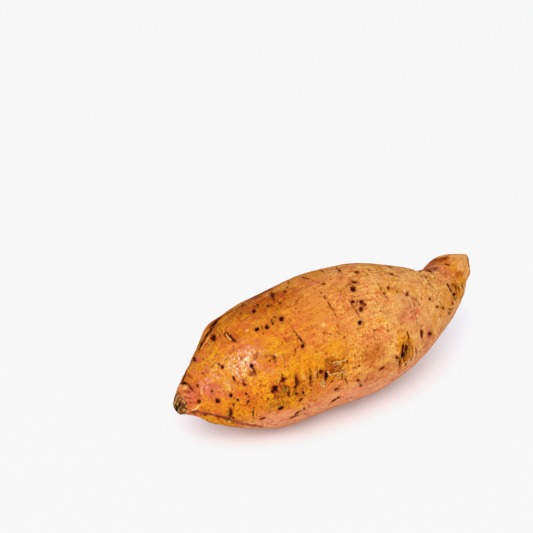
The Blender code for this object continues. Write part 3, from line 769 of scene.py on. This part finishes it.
height += 0.16 * ripples(grown, 15.0)
height += 0.07 * ripples(grown, 5.5)
height += 0.035 * ripples(grown * [1.6, 0.8, 0.8], 2.6)
# wrinkles that run round the narrow parts, where the root dried and shrank
shrunk = bell(SHARE / 0.10) + 0.9 * bell((SHARE - 0.93) / 0.11)
height += 0.10 * shrunk * ripples(grown * [1.9, 0.35, 0.35], 3.2)

# the corky scar: a raised rim, then hollow, fibrous and uneven
at_scar = np.where(SHARE <= 0.0, 1.0, 0.0) * (row_inwards[:, None] < 1.0)
at_cut = np.where(SHARE >= 1.0, 1.0, 0.0) * (row_inwards[:, None] < 1.0)
fibre = ripples(grown * [0.0, 1.0, 1.0], 1.6)
height += at_scar * (0.45 * fibre - 0.5 * (row_inwards[:, None] < 0.7))
height += at_cut * 0.12 * fibre
print("relief, mm: from", round(float(height.min()), 2), "to", round(float(height.max()), 2))

# %% [markdown]
# ## The skin as a mesh
#
# The points are pushed out along their normals by the relief, the belly is pressed flat
# where it rests, and the arrays go straight into a mesh. The first and last rows are each
# one point, the poles that close the skin. The layers ride along as attributes.

# %% Write the skin
height = np.clip(height, -1.2, 0.75)
resting = bell(smooth[..., 2] / 0.9)
points = smooth + NORMAL * (height * (1.0 - 0.85 * resting))[..., None]
points[..., 2] = np.maximum(points[..., 2], 0.0)


def grid_faces(rows, columns):
    """Quads between neighbouring rows and columns; the last column joins the first."""
    row, column = np.meshgrid(np.arange(rows - 1), np.arange(columns), indexing="ij")
    after = (column + 1) % columns
    corners = [row * columns + column, row * columns + after, (row + 1) * columns + after, (row + 1) * columns + column]
    return np.stack(corners, axis=-1).reshape(-1, 4)


def fan_faces(ring, pole, reverse):
    """Triangles from a ring of points to the pole that closes it."""
    after = np.roll(ring, -1)
    sides = [after, ring] if reverse else [ring, after]
    return np.stack([*sides, np.full(len(ring), pole)], axis=-1)


def closed_faces(rows, columns, first):
    """The faces of a grid whose poles come last, counted from the first point."""
    ring = np.arange(columns)
    quads = first + grid_faces(rows, columns)
    pole = rows * columns
    caps = [fan_faces(ring, pole, True), fan_faces((rows - 1) * columns + ring, pole + 1, False)]
    return quads.tolist() + (first + np.concatenate(caps)).tolist()


def new_piece(name, points, faces, material):
    """A mesh object at the origin, in metres, that rides on the body and stands for the root."""
    mesh = bpy.data.meshes.new(name)
    mesh.from_pydata((points * MM).tolist(), [], faces)
    mesh.shade_smooth()
    mesh.materials.append(material)
    piece = bpy.data.objects.new(name, mesh)
    bpy.context.scene.collection.objects.link(piece)
    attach(piece, "root")
    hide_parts(NODE)
    return piece


def once(rows):
    """The grid's points in a line, with each pole kept once, at the end."""
    inner = rows[1:-1]
    return np.concatenate([inner.reshape(-1, *rows.shape[2:]), rows[:1, 0], rows[-1:, 0]])


rings = len(row_share) - 2
skin_points = once(points)
skin_faces = closed_faces(rings, COLUMNS, 0)
skin_material = bpy.data.materials.new("sweet_potato_periderm")
body = new_piece("sweet_potato_skin", skin_points, skin_faces, skin_material)
print("skin:", len(skin_points), "points,", 2 * len(skin_faces), "triangles at most")

# %% [markdown]
# ## Loose flakes
#
# On the large scab, and in the split near the stem, slivers of dry skin have come loose.
# They are thinner than a vertex apart, so they are little meshes of their own: a curve
# through three spots of the skin, swept by a flat ellipse that narrows to both tips.

# %% Sweep the flakes
# first pixel, last pixel, width in mm
FLAKES = (
    (331.5, 363.8, 338.5, 361.2, 0.8), (336.0, 362.6, 346.4, 358.7, 0.75), (333.0, 365.4, 341.5, 363.2, 0.7),
    (327.6, 373.3, 332.2, 375.8, 0.8), (331.0, 374.2, 338.4, 372.4, 0.8), (336.0, 376.2, 344.4, 370.4, 0.9),
    (339.0, 371.0, 346.8, 366.3, 0.7), (341.0, 374.6, 348.3, 370.8, 0.8), (334.0, 377.2, 341.4, 378.0, 0.7),
    (342.0, 378.6, 347.2, 375.9, 0.7), (326.3, 370.7, 329.3, 372.6, 0.8), (335.0, 369.2, 339.0, 366.0, 0.55),
    (322.2, 378.4, 323.8, 387.6, 1.7), (320.6, 381.5, 322.0, 386.5, 0.9), (225.6, 333.9, 232.0, 340.2, 1.0),
    (313.8, 371.5, 314.6, 378.5, 0.8), (418.6, 319.5, 420.7, 328.5, 0.5),
)
FLAKE_RINGS = 15
FLAKE_SIDES = 8
FLAKE_THICKNESS = 0.22
FLAKE_CURL = 0.3


def flake_rows(first, middle, last, width):
    """Quadratic curve through three spots, swept by an ellipse; the tips curl up by a parabola."""
    ends = [points[spot] + 0.08 * NORMAL[spot] for spot in (first, middle, last)]
    way = unit(ends[2] - ends[0])
    up = NORMAL[middle]
    s = np.linspace(0.0, 1.0, FLAKE_RINGS)[:, None, None]
    line = (1 - s) * (1 - 2 * s) * ends[0] + 4 * s * (1 - s) * ends[1] + s * (2 * s - 1) * ends[2]
    line = line + FLAKE_CURL * width * (2 * s - 1) ** 2 * up
    round_it = np.linspace(0.0, 2 * math.pi, FLAKE_SIDES, endpoint=False)[None, :, None]
    swell = np.sqrt(np.maximum(1.0 - (2 * s - 1) ** 2, 0.0))
    thick = FLAKE_THICKNESS / 2 * np.cos(round_it) * up
    return line + swell * (thick + width / 2 * np.sin(round_it) * np.cross(way, up))


ends = np.array([row[:4] for row in FLAKES])
thirds = [at_pixels(p) for p in (ends[:, :2], (ends[:, :2] + ends[:, 2:]) / 2, ends[:, 2:])]
shells = [once(flake_rows(*spots, row[4])) for row, *spots in zip(FLAKES, *thirds)]
flake_faces = []
for i, shell in enumerate(shells):
    flake_faces += closed_faces(FLAKE_RINGS - 2, FLAKE_SIDES, i * len(shell))
flake_material = bpy.data.materials.new("dry_cork_flakes")
flakes = new_piece("loose_flakes", np.concatenate(shells), flake_faces, flake_material)
print("flakes:", len(FLAKES))

# %% Store the layers on the skin


def store(mesh, name, values):
    """Writes one number, or three, for each point of the mesh."""
    kind = "FLOAT_VECTOR" if values.ndim == 2 else "FLOAT"
    key = "vector" if values.ndim == 2 else "value"
    layer = mesh.attributes.new(name, kind, "POINT")
    layer.data.foreach_set(key, np.ascontiguousarray(values, dtype=np.float32).ravel())


# skin that faces down gets a lighter salmon: painted bounce light from the white floor
LAYERS["belly"] = np.clip(0.25 - NORMAL[..., 2] * 1.2, 0.0, 1.0) * np.clip((SHARE - 0.08) / 0.12, 0.0, 1.0)
LAYERS["blush"] = np.maximum(LAYERS["blush"], 0.75 * bell(SHARE / 0.05))
for name, values in LAYERS.items():
    store(body.data, name, once(values))
store(body.data, "scar_end", once(at_scar))
store(body.data, "cut_end", once(at_cut))
store(body.data, "rim", once(bell((SHARE * LENGTH) / 1.6) * (1.0 - at_scar)))
store(body.data, "mark", once(mark_place))
store(body.data, "grown", once(grown * MM))
print("layers:", sorted(LAYERS))

# %% [markdown]
# ## The material of the skin
#
# The skin of a sweet potato is a thin layer of cork cells, a periderm, over orange flesh.
# It is matt to slightly waxy, and its colour comes from below and varies all over: orange,
# gold and salmon in soft patches, with specks of a millimetre. We mix it from noise whose
# scales are those real sizes. The noise reads a straightened copy of the root's own
# coordinates, so that streaks follow the root and slits run round it.

# %% Helpers for materials


def linear(hex_colour):
    """An sRGB hex colour as linear red, green, blue, and 1 for alpha."""
    parts = [int(hex_colour[i : i + 2], 16) / 255 for i in (1, 3, 5)]
    return [p / 12.92 if p <= 0.04045 else ((p + 0.055) / 1.055) ** 2.4 for p in parts] + [1.0]


def add(tree, kind, sockets=None, **settings):
    """Adds a node: settings are its own options, and each socket gets a value or a link."""
    node = tree.nodes.new(kind)
    for name, value in settings.items():
        setattr(node, name, value)
    for name, value in (sockets or {}).items():
        if isinstance(value, bpy.types.NodeSocket):
            tree.links.new(value, node.inputs[name])
        else:
            node.inputs[name].default_value = value
    return node


def per(size_mm):
    """The noise scale whose features are about this size, for coordinates in metres."""
    return 1000.0 / size_mm


skin_material.use_nodes = True
tree = skin_material.node_tree
tree.nodes.clear()
where = add(tree, "ShaderNodeAttribute", attribute_name="grown").outputs["Vector"]


def noise(size_mm, detail=3.0, stretch=(1.0, 1.0, 1.0), roughness=0.55, distortion=0.0):
    """Soft noise, about 0.25 to 0.75, stretched by dividing a coordinate's frequency."""
    mapped = add(tree, "ShaderNodeMapping", {"Vector": where, "Scale": stretch}).outputs[0]
    sockets = {"Vector": mapped, "Scale": per(size_mm), "Detail": detail}
    sockets |= {"Roughness": roughness, "Distortion": distortion}
    return add(tree, "ShaderNodeTexNoise", sockets).outputs["Fac"]


def between(value, low, high, to_low=0.0, to_high=1.0):
    """The value's place between low and high, eased, on the scale from to_low to to_high."""
    sockets = {"Value": value, "From Min": low, "From Max": high, "To Min": to_low, "To Max": to_high}
    return add(tree, "ShaderNodeMapRange", sockets, interpolation_type="SMOOTHSTEP").outputs[0]


def combine(operation, a, b):
    return add(tree, "ShaderNodeMath", {0: a, 1: b}, operation=operation).outputs[0]


def mix(amount, below, above, blend="MIX"):
    """One colour laid over another by an amount; a colour may be hex or a socket."""
    below = linear(below) if isinstance(below, str) else below
    above = linear(above) if isinstance(above, str) else above
    sockets = {0: amount, 6: below, 7: above}
    return add(tree, "ShaderNodeMix", sockets, data_type="RGBA", blend_type=blend).outputs[2]


def layer(name):
    return add(tree, "ShaderNodeAttribute", attribute_name=name).outputs["Fac"]


# %% Base colour of the skin
ORANGE = "#c0680c"
AMBER = "#c87e0c"
PEACH = "#dca25e"
SALMON_STEM = "#c46020"
SALMON_TAIL = "#d2884e"
DEEP = "#a44e0c"
BOUNCE_ROSE = "#d88e68"
PALER_FROM, PALER_TO = -0.050, 0.035

broad = noise(24.0, detail=2.0)
patchy = noise(9.0, detail=5.0, stretch=(0.55, 1.0, 1.0), distortion=0.6)
cloudy = noise(5.0, detail=4.0, stretch=(0.7, 1.0, 1.0), roughness=0.6)
along_root = add(tree, "ShaderNodeSeparateXYZ", {"Vector": where}).outputs["X"]
towards_tail = between(along_root, PALER_FROM, PALER_TO)
salmon = mix(towards_tail, SALMON_STEM, SALMON_TAIL)
colour = mix(between(broad, 0.40, 0.62), ORANGE, AMBER)
colour = mix(combine("MULTIPLY", towards_tail, 0.75), colour, PEACH)
colour = mix(between(patchy, 0.50, 0.64, 0.0, 0.75), colour, salmon)
colour = mix(between(patchy, 0.46, 0.34, 0.0, 0.70), colour, AMBER)
colour = mix(between(cloudy, 0.46, 0.30, 0.0, 0.65), colour, DEEP)
# painted bounce light: a lighter salmon where the skin faces the floor
colour = mix(between(layer("belly"), 0.15, 0.75, 0.0, 0.75), colour, BOUNCE_ROSE)
print("nodes in the base colour:", len(tree.nodes))

# %% [markdown]
# ## Laying the marks over the skin
#
# A painted layer alone would look airbrushed. Adding noise before a steep step breaks its
# edge into crumbs, as cork breaks. The finest noise that shows at this distance has
# features of half a millimetre.

# %% Stains and scabs in the colour
GOLD = "#ca7e00"
OLIVE = "#94580a"
BROWN = "#8a3a00"
BLUSH = "#bc583c"
PLUM = "#8c3a34"
DEEP_SHADE = "#d8a860"
PALE = "#dcae6c"
STREAK_BLACK = "#20140a"

crumbs = noise(1.3, detail=5.0, roughness=0.7)
coarse_crumbs = noise(3.6, detail=4.0, roughness=0.65, distortion=0.8)


def ragged(name, grain, spread, low, high, strength=1.0):
    """The layer plus noise around zero, put through a step from low to high."""
    shaken = add(
        tree, "ShaderNodeMath", {0: grain, 1: spread, 2: layer(name)}, operation="MULTIPLY_ADD"
    ).outputs[0]
    lifted = combine("SUBTRACT", shaken, spread * 0.5)
    return between(lifted, low, high, 0.0, strength)


girth_grain = noise(1.6, detail=4.0, stretch=(1.0, 0.35, 0.35), roughness=0.7)
torn = combine("MULTIPLY", combine("ADD", girth_grain, coarse_crumbs), 0.5)
# the deep layer darkens by multiplying: deeper orange in places, and partly painted shadow along the upper left and the
# top of the neck and tail
colour = mix(ragged("deep_tone_and_shade", coarse_crumbs, 1.0, 0.15, 0.95), colour, DEEP_SHADE, "MULTIPLY")
# blush and plum: pink and purple marks, and partly painted shade in the neck's notch and round the dimple
colour = mix(ragged("blush", coarse_crumbs, 0.9, 0.20, 0.95, 0.75), colour, BLUSH)
colour = mix(ragged("plum", coarse_crumbs, 0.9, 0.25, 0.85, 0.8), colour, PLUM)
colour = mix(ragged("gold", coarse_crumbs, 1.6, 0.25, 0.85, 0.93), colour, GOLD)
colour = mix(ragged("olive", torn, 3.2, 0.25, 0.90, 0.85), colour, OLIVE)
colour = mix(ragged("brown", torn, 3.2, 0.30, 0.90, 0.92), colour, BROWN)
# the pale layer: dry flakes, and in a few places painted highlight and sheen
colour = mix(ragged("pale", crumbs, 1.5, 0.42, 0.95, 0.85), colour, PALE)
# grey-black streaks that run round the root inside the olive patches
soot = noise(1.3, detail=3.0, stretch=(1.0, 0.20, 0.20), roughness=0.6)
in_olive = combine("MULTIPLY", between(layer("olive"), 0.50, 0.80), between(soot, 0.56, 0.63))
colour = mix(in_olive, colour, STREAK_BLACK)
print("nodes with the stains:", len(tree.nodes))

# %% Specks and streaks over everything
RUST_TINT = "#e8a868"
DEEP_TINT = "#a8683c"
# golden specks: the share by which red, green and blue rise
LIGHT_GAIN = (1.16, 1.50, 1.35, 1.0)

mottle = noise(2.2, detail=4.0, stretch=(0.6, 1.0, 1.0), roughness=0.65)
streaks = noise(1.1, detail=3.0, stretch=(0.15, 1.0, 1.0))
fine = noise(0.9, detail=2.0, roughness=0.6)
freckle = noise(1.3, detail=2.0, stretch=(1.0, 0.6, 0.6), roughness=0.5)
# some areas are smooth and some are speckled, and the stained ones are speckled most
speckled = between(noise(13.0, detail=2.0), 0.40, 0.60, 0.4, 1.0)
stained = combine("MAXIMUM", layer("gold"), layer("olive"))
speckled = combine("MAXIMUM", speckled, stained)


def tinted(amount, colour, tint, blend):
    return mix(combine("MULTIPLY", amount, speckled), colour, tint, blend)


colour = tinted(between(mottle, 0.48, 0.32), colour, RUST_TINT, "MULTIPLY")
colour = tinted(between(fine, 0.46, 0.34), colour, RUST_TINT, "MULTIPLY")
colour = mix(between(streaks, 0.46, 0.30, 0.0, 0.55), colour, RUST_TINT, "MULTIPLY")
colour = tinted(between(freckle, 0.60, 0.68, 0.0, 0.8), colour, DEEP_TINT, "MULTIPLY")
colour = tinted(between(mottle, 0.52, 0.66, 0.0, 0.9), colour, LIGHT_GAIN, "MULTIPLY")
colour = tinted(between(fine, 0.54, 0.66, 0.0, 0.75), colour, LIGHT_GAIN, "MULTIPLY")
colour = mix(between(streaks, 0.54, 0.70, 0.0, 0.35), colour, LIGHT_GAIN, "MULTIPLY")
print("nodes with the specks:", len(tree.nodes))

# %% Pits and slits in the colour
PIT_BLACK = "#140804"
PIT_RED = "#4a0c06"
PIT_EDGE = "#7a2c08"

mark = add(tree, "ShaderNodeAttribute", attribute_name="mark").outputs["Vector"]
jitter = add(
    tree, "ShaderNodeTexNoise", {"Vector": where, "Scale": per(1.5), "Detail": 3.0, "Roughness": 0.65}
).outputs["Color"]
jitter = add(tree, "ShaderNodeVectorMath", {0: jitter, 1: (0.5, 0.5, 0.5)}, operation="SUBTRACT").outputs[0]
jitter = add(tree, "ShaderNodeVectorMath", {0: jitter, 1: (1.6, 1.6, 0.0)}, operation="MULTIPLY").outputs[0]
in_plane = add(tree, "ShaderNodeVectorMath", {0: mark, 1: (1.0, 1.0, 0.0)}, operation="MULTIPLY").outputs[0]
shaken = add(tree, "ShaderNodeVectorMath", {0: in_plane, 1: jitter}, operation="ADD").outputs[0]
radius = add(tree, "ShaderNodeVectorMath", {0: shaken}, operation="LENGTH").outputs["Value"]
is_near = between(add(tree, "ShaderNodeSeparateXYZ", {"Vector": mark}).outputs["Z"], 0.4, 0.6)
is_dark = combine("MULTIPLY", layer("dark"), is_near)
# a slit shows as a row of dashes, because the skin bridges it here and there
dashes = between(noise(1.9, detail=2.0), 0.42, 0.50)
dashed = add(tree, "ShaderNodeMath", {0: layer("slit"), 1: combine("SUBTRACT", dashes, 1.0), 2: 1.0}, operation="MULTIPLY_ADD")
is_dark = combine("MULTIPLY", is_dark, dashed.outputs[0])
pit_halo = combine("MULTIPLY", between(radius, 2.5, 1.0, 0.0, 0.55), is_dark)
pit_edge = combine("MULTIPLY", between(radius, 1.35, 0.75), is_dark)
pit_amount = combine("MULTIPLY", between(radius, 1.05, 0.50), is_dark)
colour = mix(pit_halo, colour, DEEP)
colour = mix(pit_edge, colour, PIT_EDGE)
colour = mix(pit_amount, colour, mix(layer("red"), PIT_BLACK, PIT_RED))
print("nodes with the pits:", len(tree.nodes))

# %% [markdown]
# ## The two ends
#
# The stem scar is dry cork with dark wood fibres in it, khaki to black, inside a pale
# rim. The tail was snapped or cut, and its flesh has dried to a dull orange-brown.

# %% Colour of the scar and the cut
SCAR_KHAKI = "#b28c4c"
SCAR_BROWN = "#8a4e1c"
SCAR_DARK = "#140c06"
CUT_FLESH = "#ac7545"
CUT_DRY = "#754c28"

scar_grain = noise(1.7, detail=4.0, roughness=0.7)
scar_colour = mix(between(scar_grain, 0.44, 0.50), SCAR_DARK, SCAR_BROWN)
scar_colour = mix(between(scar_grain, 0.53, 0.58), scar_colour, SCAR_KHAKI)
colour = mix(ragged("rim", crumbs, 1.2, 0.35, 0.75, 0.85), colour, scar_colour)
colour = mix(layer("scar_end"), colour, scar_colour)
cut_colour = mix(between(scar_grain, 0.40, 0.62), CUT_DRY, CUT_FLESH)
colour = mix(layer("cut_end"), colour, cut_colour)

# %% [markdown]
# ## Gloss and fine relief
#
# The skin is matt with a faint wax, so it has a broad, weak sheen that breaks up over
# pores and wrinkles. The pits are matt, because dry cork has no wax. A bump map bends the
# light over relief too fine for the mesh.

# %% Gloss and fine relief
pores = noise(0.8, detail=3.0, roughness=0.6)
wrinkles = noise(1.7, detail=3.0, stretch=(1.0, 0.3, 0.3), roughness=0.6)
relief_height = combine("ADD", combine("MULTIPLY", pores, 0.45), combine("MULTIPLY", wrinkles, 0.8))
relief_height = combine("ADD", relief_height, combine("MULTIPLY", mottle, 0.8))
relief_height = combine("SUBTRACT", relief_height, combine("MULTIPLY", pit_amount, 0.7))
bump = add(tree, "ShaderNodeBump", {"Height": relief_height, "Strength": 1.0, "Distance": 0.0007})
waxed = combine("MULTIPLY", layer("wax"), between(noise(1.4, detail=4.0, roughness=0.7), 0.44, 0.60))
waxed = combine("MULTIPLY", waxed, between(combine("MAXIMUM", layer("brown"), layer("olive")), 0.6, 0.2))
roughness = combine("ADD", between(waxed, 0.0, 1.0, 0.52, 0.26), combine("MULTIPLY", pit_amount, 0.3))
gloss = combine("MULTIPLY", between(waxed, 0.0, 1.0, 0.07, 0.90), between(pit_edge, 0.0, 1.0, 1.0, 0.1))
shader = add(
    tree,
    "ShaderNodeBsdfPrincipled",
    {"Base Color": colour, "Roughness": roughness, "Specular IOR Level": gloss, "Normal": bump.outputs[0]},
)
output = add(tree, "ShaderNodeOutputMaterial", {"Surface": shader.outputs[0]})
print("nodes in the skin:", len(tree.nodes))

# %% Colour of the flakes
STRAW = "#d09c4c"
STRAW_SHADE = "#9c6622"

flake_material.use_nodes = True
tree = flake_material.node_tree
tree.nodes.clear()
where = add(tree, "ShaderNodeTexCoord").outputs["Object"]
flake_colour = mix(between(noise(0.9), 0.42, 0.58), STRAW_SHADE, STRAW)
shader = add(
    tree,
    "ShaderNodeBsdfPrincipled",
    {"Base Color": flake_colour, "Roughness": 0.6, "Specular IOR Level": 0.2},
)
output = add(tree, "ShaderNodeOutputMaterial", {"Surface": shader.outputs[0]})
print("nodes in the flakes:", len(tree.nodes))

# %% [markdown]
# ## Floor and light
#
# The potato lies on a plain near-white surface in soft light. One large source stands to
# the left of the camera and above it, and gives the broad sheen near the stem end and a
# faint shadow to the right. The rest comes evenly from all round, as in a white room. The
# plain view transform keeps the floor white and the oranges as they are.

# %% Floor
FLOOR_HALF = 1800.0
FLOOR_COLOUR = "#f4f6fb"

floor_mesh = bpy.data.meshes.new("floor")
corners = np.array([[-1, -1, 0], [1, -1, 0], [1, 1, 0], [-1, 1, 0]]) * FLOOR_HALF * MM
floor_mesh.from_pydata(corners.tolist(), [], [(0, 1, 2, 3)])
floor = bpy.data.objects.new("floor", floor_mesh)
bpy.context.scene.collection.objects.link(floor)
floor_material = bpy.data.materials.new("matt_white_card")
floor_material.use_nodes = True
floor_shader = floor_material.node_tree.nodes["Principled BSDF"]
floor_shader.inputs["Base Color"].default_value = linear(FLOOR_COLOUR)
floor_shader.inputs["Roughness"].default_value = 0.8
floor_mesh.materials.append(floor_material)
# the floor lights the skin from below but isn't mirrored in it
floor.visible_glossy = False

# %% Light
LAMP_DISTANCE = 1700.0
KEY_AZIMUTH = -58.0
KEY_ELEVATION = 54.0
KEY_SIZE = 1300.0
KEY_POWER = 11.0
FILL_AZIMUTH = -32.0
FILL_ELEVATION = 38.0
FILL_SIZE = 1500.0
FILL_POWER = 14.0
GLINT_AZIMUTH = -56.0
GLINT_ELEVATION = 42.0
GLINT_SIZE = 380.0
GLINT_POWER = 58.0
ROOM_LIGHT = 0.84


def aim(obj, place, target):
    """Puts an object at a place in mm, with its -Z axis towards the target."""
    place, target = Vector(place) * MM, Vector(target) * MM
    obj.matrix_world = Matrix.Translation(place) @ (place - target).to_track_quat("Z", "Y").to_matrix().to_4x4()


def area_light(name, azimuth, elevation, size, power):
    """A square light that looks at the potato from so far away."""
    data = bpy.data.lights.new(name, "AREA")
    data.size = size * MM
    data.energy = power
    light = bpy.data.objects.new(name, data)
    bpy.context.scene.collection.objects.link(light)
    place = camera_axes(azimuth, elevation)[2] * LAMP_DISTANCE
    aim(light, place, (0.0, 0.0, CAMERA_AIM_HEIGHT))
    return light


key = area_light("key", KEY_AZIMUTH, KEY_ELEVATION, KEY_SIZE, KEY_POWER)
# a second lamp in the same window shows only as a glint in the wax, so it deepens no shadow
glint = area_light("glint", GLINT_AZIMUTH, GLINT_ELEVATION, GLINT_SIZE, GLINT_POWER)
glint.visible_diffuse = False
# a broad lamp by the camera fills the shadows that the camera would see
fill = area_light("fill", FILL_AZIMUTH, FILL_ELEVATION, FILL_SIZE, FILL_POWER)
fill.visible_glossy = False

world = bpy.data.worlds.new("white_room")
bpy.context.scene.world = world
world.use_nodes = True
room = world.node_tree.nodes["Background"]
room.inputs["Color"].default_value = linear("#fafbff")
room.inputs["Strength"].default_value = ROOM_LIGHT
# the room lights the skin but isn't mirrored in it, or it would veil the orange with white
world.cycles_visibility.glossy = False
view = bpy.context.scene.view_settings
view.view_transform = "Standard"

# A camera's shoulder: bright light is pressed together, so white paper stays under white.
SHOULDER = ((0.0, 0.0), (0.80, 0.80), (0.95, 0.92), (1.3, 0.965), (2.5, 0.99))
view.use_curve_mapping = True
view.curve_mapping.use_clip = False
tone = view.curve_mapping.curves[3]
tone.points[0].location = SHOULDER[0]
tone.points[-1].location = SHOULDER[-1]
for bright, shown in SHOULDER[1:-1]:
    tone.points.new(bright, shown)
for point in tone.points:
    point.handle_type = "VECTOR"
view.curve_mapping.update()
print("key at, mm:", np.round(np.array(key.location) / MM))
